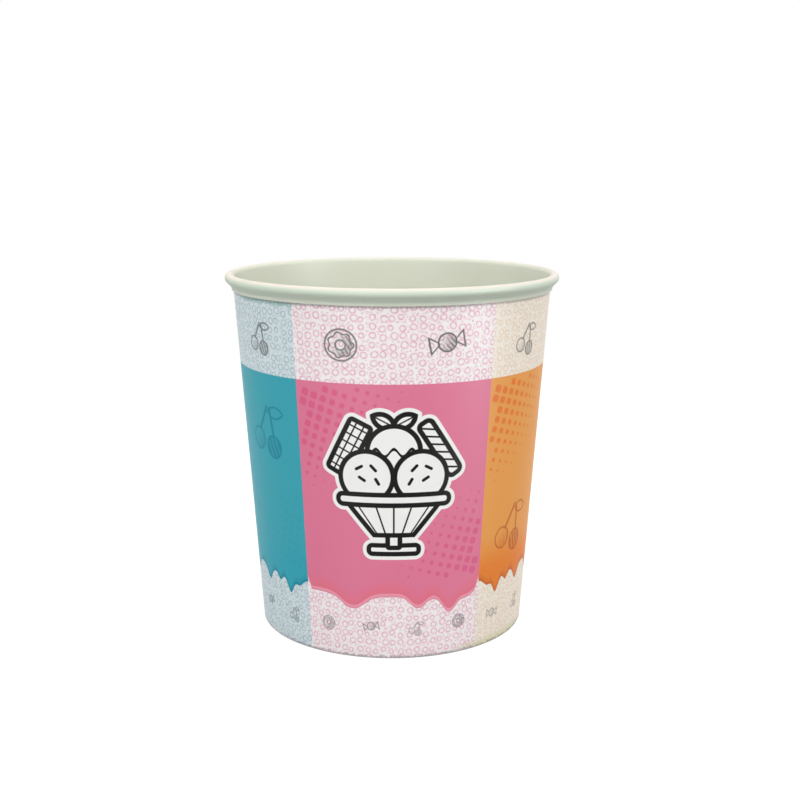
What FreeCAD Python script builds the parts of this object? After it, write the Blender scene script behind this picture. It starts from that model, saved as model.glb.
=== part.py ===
import FreeCAD, Part
import Sketcher
import math
import os

Vector = FreeCAD.Vector

# Paper dessert cup: one printed board blank wrapped into a cone, and a board disc for its bottom.
# The frame's origin is the centre of the foot ring, +Z is up and the printed front faces -Y.
# The side seam is on the right, behind the cup's widest point, so that it doesn't show from the front.
# All lengths are in millimetres and all angles in degrees.

DRIVING_DIMENSIONS = [
    ("rim_diameter", 90.0, "outside of the rolled rim, a standard lid size"),
    ("foot_diameter", 73.2, "outside of the folded foot"),
    ("cup_height", 97.0, "table to top of the rim"),
    ("side_board", 0.42, "board thickness of the side wall"),
    ("base_board", 0.35, "board thickness of the bottom disc"),
    ("curl_radius", 1.25, "rim roll, outside radius"),
    ("bead_drop", 4.3, "top of the rim down to the end of its lip"),
    ("lip_length", 0.25, "stretch of the rolled rim that lies flat on the wall"),
    ("lip_gap", 0.1, "air between the lip and the wall"),
    ("lip_bend", 1.5, "bend between the rim's flank and its lip, inside radius"),
    ("hem_height", 7.0, "table to the end of the wall's turned-in hem"),
    ("floor_height", 8.5, "table to the upper face of the bottom disc"),
    ("disc_bend", 0.35, "bend between the disc and its skirt, inside radius"),
    ("skirt_gap", 0.3, "end of the skirt to the inside of the foot fold"),
    ("seam_place", 12.2, "middle of the side seam, about the cup's axis from +X towards +Y"),
    ("seam_angle", 13.0, "lap of the side seam, about the cup's axis"),
    ("ramp_angle", 6.0, "stretch over which the outer layer comes down beside the seam"),
    ("seam_gap", 0.1, "upper end of the seam's raised layer to the end of the lip"),
    ("notch_gap", 1.0, "lower end of the seam's inner step to the bottom disc"),
]

# codes of a sketch's own axes, and of the points of its lines and arcs
START, END, CENTRE = range(1, 4)
X_AXIS, Y_AXIS = range(-1, -3, -1)
ORIGIN = (X_AXIS, START)

QUARTER_TURN = math.pi / 2
SEAM_UPRIGHT = math.degrees(QUARTER_TURN)


def make_sheet(document):
    """Write the driving dimensions into a spreadsheet, one named cell each."""
    sheet = document.addObject("Spreadsheet::Sheet", "dimensions")
    for row, (name, value, note) in enumerate(DRIVING_DIMENSIONS, start=1):
        sheet.set("A%d" % row, name)
        sheet.set("B%d" % row, str(value))
        sheet.set("C%d" % row, note)
        sheet.setAlias("B%d" % row, name)
    document.recompute()
    return sheet


def plane_of(body, role):
    """Find one of the body's own origin planes by its role."""
    for feature in body.Origin.OriginFeatures:
        if feature.Role == role:
            return feature
    raise ValueError("no plane " + role)


def new_body(document, name):
    body = document.addObject("PartDesign::Body", name)
    body.Label = name
    return body


def new_sketch(body, name, role, lift=None, turn=None):
    """Make a sketch on an origin plane, lifted along and turned about its normal by expressions."""
    sketch = body.newObject("Sketcher::SketchObject", name)
    sketch.AttachmentSupport = [(plane_of(body, role), "")]
    sketch.MapMode = "FlatFace"
    if lift:
        sketch.setExpression("AttachmentOffset.Base.z", lift)
    if turn:
        sketch.setExpression("AttachmentOffset.Rotation.Angle", turn)
    return sketch


def hold(sketch, name, expression, *parts):
    """Add a dimension, name it and bind it to an expression on the sheet."""
    index = sketch.addConstraint(Sketcher.Constraint(*parts))
    sketch.renameConstraint(index, name)
    sketch.setExpression("Constraints." + name, expression)


def measure(sketch, name, *parts):
    """Add a dimension that only reads the solved sketch, for other sketches to use."""
    index = sketch.addConstraint(Sketcher.Constraint(*parts))
    sketch.setDriving(index, False)
    sketch.renameConstraint(index, name)


def relate(sketch, kind, *parts):
    sketch.addConstraint(Sketcher.Constraint(kind, *parts))


def draw_line(sketch, start, end, construction=False):
    return sketch.addGeometry(Part.LineSegment(start, end), construction)


def draw_arc(sketch, centre, radius, start_angle, end_angle):
    """Draw an arc anticlockwise between two angles in radians."""
    circle = Part.Circle(centre, Vector(0, 0, 1), radius)
    return sketch.addGeometry(Part.ArcOfCircle(circle, start_angle, end_angle), False)


def polar(radius, angle):
    return Vector(radius * math.cos(angle), radius * math.sin(angle), 0)


class WallLine:
    """The wall's coated inner face in section: from the foot fold's corner to the rim roll.

    It starts the sketches at their solution. The sketches' own constraints then hold it.
    """

    def __init__(self, sheet):
        board = sheet.side_board
        self.corner = Vector(sheet.foot_diameter / 2 - board, board, 0)
        self.curl_centre = Vector(
            sheet.rim_diameter / 2 - sheet.curl_radius,
            sheet.cup_height - sheet.curl_radius,
            0,
        )
        reach = self.curl_centre - self.corner
        swing = math.asin(sheet.curl_radius / reach.Length)
        self.lean = math.atan2(reach.x, reach.y) - swing
        self.along = Vector(math.sin(self.lean), math.cos(self.lean), 0)
        self.outward = Vector(math.cos(self.lean), -math.sin(self.lean), 0)
        self.top = self.curl_centre - self.outward * sheet.curl_radius

    def at(self, height, offset=0.0):
        """The point at a height, on the line moved outward by the offset."""
        rise = height - self.corner.y + offset * math.sin(self.lean)
        return self.corner + self.along * (rise / math.cos(self.lean)) + self.outward * offset


def draw_wall_profile(sketch, sheet):
    """Draw the side wall's section, one board thickness all the way from the hem to the lip."""
    wall = WallLine(sheet)
    board = sheet.side_board
    outward = wall.outward
    up_angle = math.pi - wall.lean

    # foot fold and hem
    hem_corner = wall.corner - Vector(sheet.base_board / math.cos(wall.lean), 0, 0)
    hem_rise = wall.along * ((sheet.hem_height - hem_corner.y) / math.cos(wall.lean))
    hem_top = hem_corner + hem_rise
    hem_back = draw_line(sketch, hem_top - outward * board, hem_corner - outward * board)
    fold_in = draw_arc(sketch, hem_corner, board, up_angle, 3 * QUARTER_TURN)
    foot = draw_line(sketch, Vector(hem_corner.x, 0, 0), Vector(wall.corner.x, 0, 0))
    fold_out = draw_arc(sketch, wall.corner, board, -QUARTER_TURN, -wall.lean)

    # rim: roll, slanted flank, bend and the lip that lies on the wall
    # the roll's outside has an edge at its widest point and one at its crest
    lip_offset = 2 * board + sheet.lip_gap
    lip_end = wall.at(sheet.cup_height - sheet.bead_drop, lip_offset)
    lip_start = lip_end + wall.along * sheet.lip_length
    bend_centre = lip_start + outward * sheet.lip_bend
    span = bend_centre - wall.curl_centre
    opening = math.acos((sheet.curl_radius + sheet.lip_bend) / span.Length)
    flank_angle = math.atan2(span.y, span.x) + opening
    flank_normal = polar(1, flank_angle)
    inner_curl = sheet.curl_radius - board
    outer_bend = sheet.lip_bend + board

    print_face = draw_line(
        sketch, wall.corner + outward * board, wall.curl_centre - outward * inner_curl
    )
    curl_inside = draw_arc(sketch, wall.curl_centre, inner_curl, flank_angle, up_angle)
    flank_inside = draw_line(
        sketch,
        wall.curl_centre + flank_normal * inner_curl,
        bend_centre - flank_normal * outer_bend,
    )
    bend_inside = draw_arc(
        sketch, bend_centre, outer_bend, flank_angle + math.pi, up_angle
    )
    lip_inside = draw_line(sketch, lip_start - outward * board, lip_end - outward * board)
    lip_edge = draw_line(sketch, lip_end - outward * board, lip_end)
    lip_outside = draw_line(sketch, lip_end, lip_start)
    bend_outside = draw_arc(
        sketch, bend_centre, sheet.lip_bend, flank_angle + math.pi, up_angle
    )
    flank_outside = draw_line(
        sketch,
        bend_centre - flank_normal * sheet.lip_bend,
        wall.curl_centre + flank_normal * sheet.curl_radius,
    )
    curl_side = draw_arc(sketch, wall.curl_centre, sheet.curl_radius, flank_angle, 0)
    curl_shoulder = draw_arc(sketch, wall.curl_centre, sheet.curl_radius, 0, QUARTER_TURN)
    curl_mouth = draw_arc(sketch, wall.curl_centre, sheet.curl_radius, QUARTER_TURN, up_angle)
    coated_face = draw_line(sketch, wall.top, wall.corner)

    # inside of the foot fold, round the disc's skirt
    fold_floor = draw_line(sketch, wall.corner, hem_corner)
    hem_face = draw_line(sketch, hem_corner, hem_top)
    hem_edge = draw_line(sketch, hem_top, hem_top - outward * board)

    # smooth joints between lines and arcs
    relate(sketch, "Tangent", hem_back, END, fold_in, START)
    relate(sketch, "Tangent", fold_in, END, foot, START)
    relate(sketch, "Tangent", foot, END, fold_out, START)
    relate(sketch, "Tangent", fold_out, END, print_face, START)
    relate(sketch, "Tangent", print_face, END, curl_inside, END)
    relate(sketch, "Tangent", curl_inside, START, flank_inside, START)
    relate(sketch, "Tangent", flank_inside, END, bend_inside, START)
    relate(sketch, "Tangent", bend_inside, END, lip_inside, START)
    relate(sketch, "Tangent", lip_outside, END, bend_outside, END)
    relate(sketch, "Tangent", bend_outside, START, flank_outside, START)
    relate(sketch, "Tangent", flank_outside, END, curl_side, START)
    relate(sketch, "Tangent", curl_mouth, END, coated_face, START)

    # corners and concentric arcs
    relate(sketch, "Coincident", lip_inside, END, lip_edge, START)
    relate(sketch, "Coincident", lip_edge, END, lip_outside, START)
    relate(sketch, "Coincident", coated_face, END, fold_floor, START)
    relate(sketch, "Coincident", fold_floor, END, hem_face, START)
    relate(sketch, "Coincident", hem_face, END, hem_edge, START)
    relate(sketch, "Coincident", hem_edge, END, hem_back, START)
    relate(sketch, "Coincident", fold_in, CENTRE, hem_face, START)
    relate(sketch, "Coincident", fold_out, CENTRE, coated_face, END)
    relate(sketch, "Coincident", curl_side, END, curl_shoulder, START)
    relate(sketch, "Coincident", curl_shoulder, END, curl_mouth, START)
    relate(sketch, "Coincident", curl_side, CENTRE, curl_shoulder, CENTRE)
    relate(sketch, "Coincident", curl_mouth, CENTRE, curl_shoulder, CENTRE)
    relate(sketch, "Coincident", curl_inside, CENTRE, curl_shoulder, CENTRE)
    relate(sketch, "Coincident", bend_inside, CENTRE, bend_outside, CENTRE)

    # directions
    relate(sketch, "PointOnObject", foot, START, X_AXIS)
    relate(sketch, "Horizontal", foot)
    relate(sketch, "Parallel", hem_face, coated_face)
    relate(sketch, "Parallel", hem_back, hem_face)
    relate(sketch, "Perpendicular", lip_edge, lip_outside)
    relate(sketch, "Parallel", lip_outside, coated_face)
    relate(sketch, "Parallel", lip_inside, lip_outside)
    relate(sketch, "Perpendicular", hem_edge, hem_face)
    relate(sketch, "Horizontal", curl_shoulder, CENTRE, curl_shoulder, START)
    relate(sketch, "Vertical", curl_shoulder, CENTRE, curl_shoulder, END)

    # sizes
    hold(sketch, "foot_corner", "dimensions.foot_diameter / 2 - dimensions.side_board",
         "DistanceX", *ORIGIN, coated_face, END, wall.corner.x)
    hold(sketch, "fold_radius", "dimensions.side_board", "Radius", fold_out, board)
    hold(sketch, "hem_fold_radius", "dimensions.side_board", "Radius", fold_in, board)
    hold(sketch, "skirt_slot", "dimensions.base_board",
         "Distance", hem_face, START, coated_face, sheet.base_board)
    hold(sketch, "hem_top", "dimensions.hem_height",
         "DistanceY", *ORIGIN, hem_face, END, sheet.hem_height)
    hold(sketch, "curl_reach", "dimensions.rim_diameter / 2 - dimensions.curl_radius",
         "DistanceX", *ORIGIN, curl_shoulder, CENTRE, wall.curl_centre.x)
    hold(sketch, "curl_height", "dimensions.cup_height - dimensions.curl_radius",
         "DistanceY", *ORIGIN, curl_shoulder, CENTRE, wall.curl_centre.y)
    hold(sketch, "curl_outer_radius", "dimensions.curl_radius",
         "Radius", curl_shoulder, sheet.curl_radius)
    hold(sketch, "curl_inner_radius", "dimensions.curl_radius - dimensions.side_board",
         "Radius", curl_inside, inner_curl)
    hold(sketch, "bend_inner_radius", "dimensions.lip_bend",
         "Radius", bend_outside, sheet.lip_bend)
    hold(sketch, "bend_outer_radius", "dimensions.lip_bend + dimensions.side_board",
         "Radius", bend_inside, outer_bend)
    hold(sketch, "lip_end_height", "dimensions.cup_height - dimensions.bead_drop",
         "DistanceY", *ORIGIN, lip_outside, START, lip_end.y)
    hold(sketch, "lip_stand_off", "2 * dimensions.side_board + dimensions.lip_gap",
         "Distance", lip_outside, START, coated_face, lip_offset)
    hold(sketch, "lip_straight", "dimensions.lip_length",
         "Distance", lip_outside, START, lip_outside, END, sheet.lip_length)
    return print_face


def mark_seam_heights(sketch, sheet, print_face):
    """Add points on the print face at the seam's heights, and read their radii."""
    wall = WallLine(sheet)
    heights = {
        "foot": "dimensions.side_board",
        "floor": "dimensions.floor_height + dimensions.notch_gap",
        "lip": "dimensions.cup_height - dimensions.bead_drop - dimensions.seam_gap",
    }
    starts = {
        "foot": sheet.side_board,
        "floor": sheet.floor_height + sheet.notch_gap,
        "lip": sheet.cup_height - sheet.bead_drop - sheet.seam_gap,
    }
    for name, expression in heights.items():
        spot = sketch.addGeometry(Part.Point(wall.at(starts[name], sheet.side_board)), True)
        relate(sketch, "PointOnObject", spot, START, print_face)
        hold(sketch, name + "_height", expression,
             "DistanceY", *ORIGIN, spot, START, starts[name])
        measure(sketch, name + "_radius", "DistanceX", *ORIGIN, spot, START,
                wall.at(starts[name], sheet.side_board).x)
    return heights, starts


def draw_seam_section(sketch, sheet, radius, radius_name, lower, upper, lap):
    """Draw one level section of the seam: a band between two radii that ramps down beside the lap.

    The lap's middle is on the sketch's own Y axis, and the sketch is turned to the seam's place.
    lower and upper are the band's two faces, as board thicknesses out from the print face.
    lap is True for the raised layer over the whole lap, False for the step's wedge alone.
    """
    board = sheet.side_board
    inner = radius + lower * board
    outer = radius + upper * board
    near = math.radians(SEAM_UPRIGHT - sheet.seam_angle / 2)
    far = near - math.radians(sheet.ramp_angle)
    last = math.radians(SEAM_UPRIGHT + sheet.seam_angle / 2) if lap else near
    size = "WallProfile.Constraints.%s_radius + %g mm * dimensions.side_board"
    inner_size = size % (radius_name, lower)
    outer_size = size % (radius_name, upper)
    near_size = "%g deg - dimensions.seam_angle / 2 * 1 deg" % SEAM_UPRIGHT
    far_size = near_size + " - dimensions.ramp_angle * 1 deg"
    last_size = "%g deg + dimensions.seam_angle / 2 * 1 deg" % SEAM_UPRIGHT

    ramp = draw_line(sketch, polar(inner, far), polar(outer, near))
    inner_arc = draw_arc(sketch, Vector(0, 0, 0), inner, far, last)
    edge = draw_line(sketch, polar(inner, last), polar(outer, last))
    relate(sketch, "Coincident", inner_arc, CENTRE, *ORIGIN)
    relate(sketch, "Coincident", ramp, START, inner_arc, START)
    relate(sketch, "Coincident", edge, START, inner_arc, END)
    relate(sketch, "PointOnObject", *ORIGIN, edge)
    hold(sketch, "inner_radius", inner_size, "Radius", inner_arc, inner)
    if lap:
        outer_arc = draw_arc(sketch, Vector(0, 0, 0), outer, near, last)
        relate(sketch, "Coincident", outer_arc, CENTRE, *ORIGIN)
        relate(sketch, "Coincident", ramp, END, outer_arc, START)
        relate(sketch, "Coincident", edge, END, outer_arc, END)
        hold(sketch, "outer_radius", outer_size, "Radius", outer_arc, outer)
    else:
        relate(sketch, "Coincident", ramp, END, edge, END)
    near_ray = draw_line(sketch, Vector(0, 0, 0), polar(outer, near), True)
    relate(sketch, "Coincident", near_ray, START, *ORIGIN)
    relate(sketch, "Coincident", near_ray, END, ramp, END)
    hold(sketch, "near_angle", near_size, "Angle", X_AXIS, START, near_ray, START, near)
    far_ray = draw_line(sketch, Vector(0, 0, 0), polar(inner, far), True)
    relate(sketch, "Coincident", far_ray, START, *ORIGIN)
    relate(sketch, "Coincident", far_ray, END, ramp, START)
    hold(sketch, "far_angle", far_size, "Angle", X_AXIS, START, far_ray, START, far)
    if lap:
        last_ray = draw_line(sketch, Vector(0, 0, 0), polar(outer, last), True)
        relate(sketch, "Coincident", last_ray, START, *ORIGIN)
        relate(sketch, "Coincident", last_ray, END, edge, END)
        hold(sketch, "last_angle", last_size, "Angle", X_AXIS, START, last_ray, START, last)
    else:
        hold(sketch, "edge_radius", outer_size,
             "Distance", near_ray, START, near_ray, END, outer)


def add_seam_loft(body, kind, name, sheet, profile, levels, band, lap):
    """Loft a seam section between two of the marked heights of the wall."""
    heights, starts = levels
    wall = WallLine(sheet)
    turn = "dimensions.seam_place * 1 deg - %g deg" % SEAM_UPRIGHT
    sections = []
    for level in profile:
        sketch = new_sketch(body, "%s_%s" % (name, level), "XY_Plane", heights[level], turn)
        radius = wall.at(starts[level], sheet.side_board).x
        draw_seam_section(sketch, sheet, radius, level, band[0], band[1], lap)
        sections.append(sketch)
    loft = body.newObject(kind, name)
    loft.Profile = sections[0]
    loft.Sections = sections[1:]
    loft.Ruled = True
    return loft


def make_side_wall(document, sheet):
    """The printed blank: a cone with a rolled rim, a lapped side seam and a turned-in hem."""
    body = new_body(document, "side_wall")
    sketch = new_sketch(body, "WallProfile", "XZ_Plane")
    print_face = draw_wall_profile(sketch, sheet)
    levels = mark_seam_heights(sketch, sheet, print_face)
    document.recompute()
    turned = body.newObject("PartDesign::Revolution", "WallTurned")
    turned.Profile = sketch
    turned.ReferenceAxis = (sketch, ["V_Axis"])
    turned.Angle = 360.0
    document.recompute()

    # the outer layer of the lap lies on the print face, and ramps down beside it
    # its band starts half a board deep, so that it is one with the wall
    raised_band = (-1 / 2, 1)
    add_seam_loft(body, "PartDesign::AdditiveLoft", "SeamLayer", sheet,
                  ("foot", "lip"), levels, raised_band, True)
    document.recompute()
    layered = body.Shape.Volume

    # inside, the other end of the blank makes a step, and the coated face runs out from it
    # its band lies one board further in, so that the wall keeps its thickness
    step_band = (raised_band[0] - 1, raised_band[1] - 1)
    add_seam_loft(body, "PartDesign::SubtractiveLoft", "SeamStep", sheet,
                  ("floor", "lip"), levels, step_band, False)
    document.recompute()
    if not turned.Shape.Volume < layered or not body.Shape.Volume < layered:
        raise ValueError("the side seam changed nothing")
    return body


def make_bottom_disc(document, sheet):
    """The disc: a recessed floor with a skirt turned down between the wall and its hem."""
    body = new_body(document, "bottom_disc")
    sketch = new_sketch(body, "DiscProfile", "XZ_Plane")
    wall = WallLine(sheet)
    board = sheet.base_board
    up_angle = math.pi - wall.lean
    outer_bend = sheet.disc_bend + board
    skirt_end = wall.at(sheet.side_board + sheet.skirt_gap)
    bend_height = sheet.floor_height - outer_bend
    bend_centre = wall.at(bend_height, -outer_bend)

    # the wall's coated face, drawn again from the same sizes to carry the skirt
    wall_face = draw_line(sketch, wall.corner, wall.top, True)
    curl = sketch.addGeometry(
        Part.Circle(wall.curl_centre, Vector(0, 0, 1), sheet.curl_radius), True
    )

    top_face = draw_line(
        sketch, Vector(0, sheet.floor_height, 0), Vector(bend_centre.x, sheet.floor_height, 0)
    )
    bend_out = draw_arc(sketch, bend_centre, outer_bend, -wall.lean, QUARTER_TURN)
    skirt_outside = draw_line(sketch, bend_centre + wall.outward * outer_bend, skirt_end)
    skirt_edge = draw_line(sketch, skirt_end, skirt_end - wall.outward * board)
    skirt_inside = draw_line(
        sketch, skirt_end - wall.outward * board, bend_centre + wall.outward * sheet.disc_bend
    )
    bend_in = draw_arc(sketch, bend_centre, sheet.disc_bend, -wall.lean, QUARTER_TURN)
    underside = draw_line(
        sketch,
        Vector(bend_centre.x, sheet.floor_height - board, 0),
        Vector(0, sheet.floor_height - board, 0),
    )
    axis_side = draw_line(
        sketch, Vector(0, sheet.floor_height - board, 0), Vector(0, sheet.floor_height, 0)
    )

    relate(sketch, "Tangent", top_face, END, bend_out, END)
    relate(sketch, "Tangent", bend_out, START, skirt_outside, START)
    relate(sketch, "Coincident", skirt_outside, END, skirt_edge, START)
    relate(sketch, "Coincident", skirt_edge, END, skirt_inside, START)
    relate(sketch, "Tangent", skirt_inside, END, bend_in, START)
    relate(sketch, "Tangent", bend_in, END, underside, START)
    relate(sketch, "Coincident", underside, END, axis_side, START)
    relate(sketch, "Coincident", axis_side, END, top_face, START)
    relate(sketch, "Coincident", bend_in, CENTRE, bend_out, CENTRE)
    relate(sketch, "PointOnObject", top_face, START, Y_AXIS)
    relate(sketch, "Vertical", axis_side)
    relate(sketch, "Horizontal", top_face)
    relate(sketch, "Horizontal", underside)
    relate(sketch, "Parallel", skirt_inside, skirt_outside)
    relate(sketch, "Perpendicular", skirt_edge, skirt_outside)
    relate(sketch, "PointOnObject", skirt_outside, START, wall_face)
    relate(sketch, "PointOnObject", skirt_outside, END, wall_face)
    relate(sketch, "Tangent", wall_face, END, curl)

    hold(sketch, "wall_corner_x", "dimensions.foot_diameter / 2 - dimensions.side_board",
         "DistanceX", *ORIGIN, wall_face, START, wall.corner.x)
    hold(sketch, "wall_corner_y", "dimensions.side_board",
         "DistanceY", *ORIGIN, wall_face, START, wall.corner.y)
    hold(sketch, "curl_reach", "dimensions.rim_diameter / 2 - dimensions.curl_radius",
         "DistanceX", *ORIGIN, curl, CENTRE, wall.curl_centre.x)
    hold(sketch, "curl_height", "dimensions.cup_height - dimensions.curl_radius",
         "DistanceY", *ORIGIN, curl, CENTRE, wall.curl_centre.y)
    hold(sketch, "curl_outer_radius", "dimensions.curl_radius", "Radius", curl, sheet.curl_radius)
    hold(sketch, "floor_top", "dimensions.floor_height",
         "DistanceY", *ORIGIN, top_face, START, sheet.floor_height)
    hold(sketch, "bend_inner_radius", "dimensions.disc_bend", "Radius", bend_in, sheet.disc_bend)
    hold(sketch, "bend_outer_radius", "dimensions.disc_bend + dimensions.base_board",
         "Radius", bend_out, outer_bend)
    hold(sketch, "skirt_end_height", "dimensions.side_board + dimensions.skirt_gap",
         "DistanceY", *ORIGIN, skirt_outside, END, skirt_end.y)
    document.recompute()
    turned = body.newObject("PartDesign::Revolution", "DiscTurned")
    turned.Profile = sketch
    turned.ReferenceAxis = (sketch, ["V_Axis"])
    turned.Angle = 360.0
    document.recompute()
    return body


def check_document(document, bodies):
    """Stop if an object failed, a sketch is loose or a sub-part is not one valid solid."""
    for item in document.Objects:
        if "Invalid" in item.State or "Error" in item.State:
            raise ValueError("failed object " + item.Name)
        if item.TypeId == "Sketcher::SketchObject" and not item.FullyConstrained:
            raise ValueError("sketch with free points " + item.Name)
    for body in bodies:
        shape = body.Shape
        if shape.isNull() or not shape.isValid() or len(shape.Solids) != 1:
            raise ValueError("bad shape in " + body.Label)


def main():
    document = FreeCAD.newDocument("dessert_cup")
    sheet = make_sheet(document)
    bodies = [make_side_wall(document, sheet), make_bottom_disc(document, sheet)]
    document.recompute()
    check_document(document, bodies)
    os.makedirs("parts", exist_ok=True)
    for body in bodies:
        body.Shape.exportStep(os.path.join("parts", body.Label + ".step"))
        print("%s: volume %.1f mm3" % (body.Label, body.Shape.Volume))


main()
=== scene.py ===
import math

import bmesh
import bpy
import numpy as np
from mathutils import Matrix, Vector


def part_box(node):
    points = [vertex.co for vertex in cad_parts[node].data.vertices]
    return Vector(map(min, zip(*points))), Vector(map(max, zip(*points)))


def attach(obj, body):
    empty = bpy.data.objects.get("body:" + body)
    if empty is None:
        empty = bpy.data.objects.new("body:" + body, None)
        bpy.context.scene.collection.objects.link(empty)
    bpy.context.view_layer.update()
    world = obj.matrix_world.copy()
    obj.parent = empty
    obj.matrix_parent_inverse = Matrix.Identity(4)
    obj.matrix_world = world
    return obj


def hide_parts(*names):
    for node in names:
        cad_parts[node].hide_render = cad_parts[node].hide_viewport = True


# Paper dessert cup: a printed board wall, lapped at one side and rolled at the rim, and a board disc
# for its bottom. Sizes in the dictionaries are in millimetres and degrees, the meshes in metres.
# Angles go round the cup from the front (-Y), positive towards +X, which is at 90.

mm = 0.001
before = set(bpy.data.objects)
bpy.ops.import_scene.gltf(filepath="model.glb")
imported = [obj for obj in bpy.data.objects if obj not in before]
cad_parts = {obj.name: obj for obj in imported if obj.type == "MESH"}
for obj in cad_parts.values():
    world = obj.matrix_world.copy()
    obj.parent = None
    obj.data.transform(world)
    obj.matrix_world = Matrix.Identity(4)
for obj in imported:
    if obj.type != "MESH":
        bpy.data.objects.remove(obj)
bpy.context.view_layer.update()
print("frame loaded")


class Wire:
    # one socket of a node tree, so that maths with nodes is written as Python
    def __init__(self, tree, socket=None):
        self.tree = tree
        self.socket = socket

    def add(self, kind, settings=None, inputs=None, output=0):
        node = self.tree.nodes.new(kind)
        for name, value in (settings or {}).items():
            if name == "stops":
                setStops(node.color_ramp, value)
            else:
                setattr(node, name, value)
        for name, value in (inputs or {}).items():
            if isinstance(value, Wire):
                self.tree.links.new(value.socket, node.inputs[name])
            else:
                node.inputs[name].default_value = value
        return Wire(self.tree, node.outputs[output])

    def take(self, name):
        return Wire(self.tree, self.socket.node.outputs[name])

    def maths(self, operation, *values, clamp=False):
        settings = {"operation": operation, "use_clamp": clamp}
        return self.add("ShaderNodeMath", settings, dict(enumerate((self,) + values)))

    def __add__(self, other):
        return self.maths("ADD", other)

    __radd__ = __add__

    def __sub__(self, other):
        return self.maths("SUBTRACT", other)

    def __rsub__(self, other):
        return self.maths("MULTIPLY_ADD", -1.0, other)

    def __mul__(self, other):
        return self.maths("MULTIPLY", other)

    __rmul__ = __mul__

    def __truediv__(self, other):
        return self.maths("DIVIDE", other)

    def __abs__(self):
        return self.maths("ABSOLUTE")

    def plus(self, factor, other, clamp=False):
        return self.maths("MULTIPLY_ADD", factor, other, clamp=clamp)

    def least(self, other):
        return self.maths("MINIMUM", other)

    def most(self, other):
        return self.maths("MAXIMUM", other)

    def below(self, other):
        return self.maths("LESS_THAN", other)

    def above(self, other):
        return self.maths("GREATER_THAN", other)

    def equals(self, other):
        return self.maths("COMPARE", other, 0.5)

    def rounded(self):
        return self.maths("ROUND")

    def ease(self, low, high):
        # 0 at low, 1 at high, smooth between
        return self.add(
            "ShaderNodeMapRange",
            {"interpolation_type": "SMOOTHSTEP"},
            {"Value": self, "From Min": low, "From Max": high},
        )


def setStops(ramp, stops):
    way, marks = stops
    ramp.interpolation = way
    while len(ramp.elements) < len(marks):
        ramp.elements.new(1.0)
    for element, (position, colour) in zip(ramp.elements, marks):
        element.position = position
        element.color = colour


def paint(red, green, blue):
    # a colour as a picture program shows it, 0 to 255
    def linear(value):
        value /= 255
        return value / 12.92 if value <= 0.04045 else ((value + 0.055) / 1.055) ** 2.4

    return (linear(red), linear(green), linear(blue), 1.0)


def layered(mask, below, above):
    # the colour above, laid over the colour below where the mask is 1
    return mask.add("ShaderNodeMix", {"data_type": "RGBA"}, {0: mask, 6: below, 7: above}, 2)


# Board wall: its section, then the blank wrapped round it
wallSizes = {
    "board": 0.42,
    "discBoard": 0.35,
    "curlRadius": 1.25,
    "beadDrop": 4.3,
    "lipLength": 0.25,
    "lipGap": 0.1,
    "lipBend": 1.5,
    "hemHeight": 7.0,
    "floorHeight": 8.5,
    "notchGap": 1.0,
    "seamPlace": 102.2,  # middle of the lap, round from the front
    "seamAngle": 13.0,
    "rampAngle": 6.0,
    "columns": 720,
    "beadLump": 0.55,  # share of a board that the bead stands out over the lap
    "ribCount": 84,  # pressing marks round the hem
    "ribDepth": 0.09,
    "waviness": 0.05,
}
discSizes = {
    "bend": 0.35,
    "skirtGap": 0.3,
    "columns": 360,
    "pleatCount": 60,
    "pleatDepth": 0.05,
    "waviness": 0.03,
}
blankRadius = 40.0  # the print is laid out by its arc on a cup of this radius
printed, coated, cutEdge = range(3)  # the kinds of surface that a section has


def measureCup():
    low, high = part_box("side_wall")
    corners = np.array([v.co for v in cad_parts["side_wall"].data.vertices])
    onTable = corners[corners[:, 2] < 0.01 * mm]
    footFlat = np.hypot(onTable[:, 0], onTable[:, 1]).max()
    return {
        "rim": high.x / mm,
        "height": high.z / mm,
        "foot": footFlat / mm + wallSizes["board"],
    }


class WallLine:
    # the wall's coated inner face in section, from the foot fold to the rim roll
    def __init__(self, cup, sizes):
        board, curl = sizes["board"], sizes["curlRadius"]
        self.corner = np.array([cup["foot"] - board, board])
        self.curlCentre = np.array([cup["rim"] - curl, cup["height"] - curl])
        reach = self.curlCentre - self.corner
        self.lean = math.atan2(*reach) - math.asin(curl / np.hypot(*reach))
        self.along = np.array([math.sin(self.lean), math.cos(self.lean)])
        self.outward = np.array([math.cos(self.lean), -math.sin(self.lean)])
        self.top = self.curlCentre - self.outward * curl

    def at(self, height, offset=0.0):
        rise = height - self.corner[1] + offset * math.sin(self.lean)
        return self.corner + self.along * rise / math.cos(self.lean) + self.outward * offset


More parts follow.
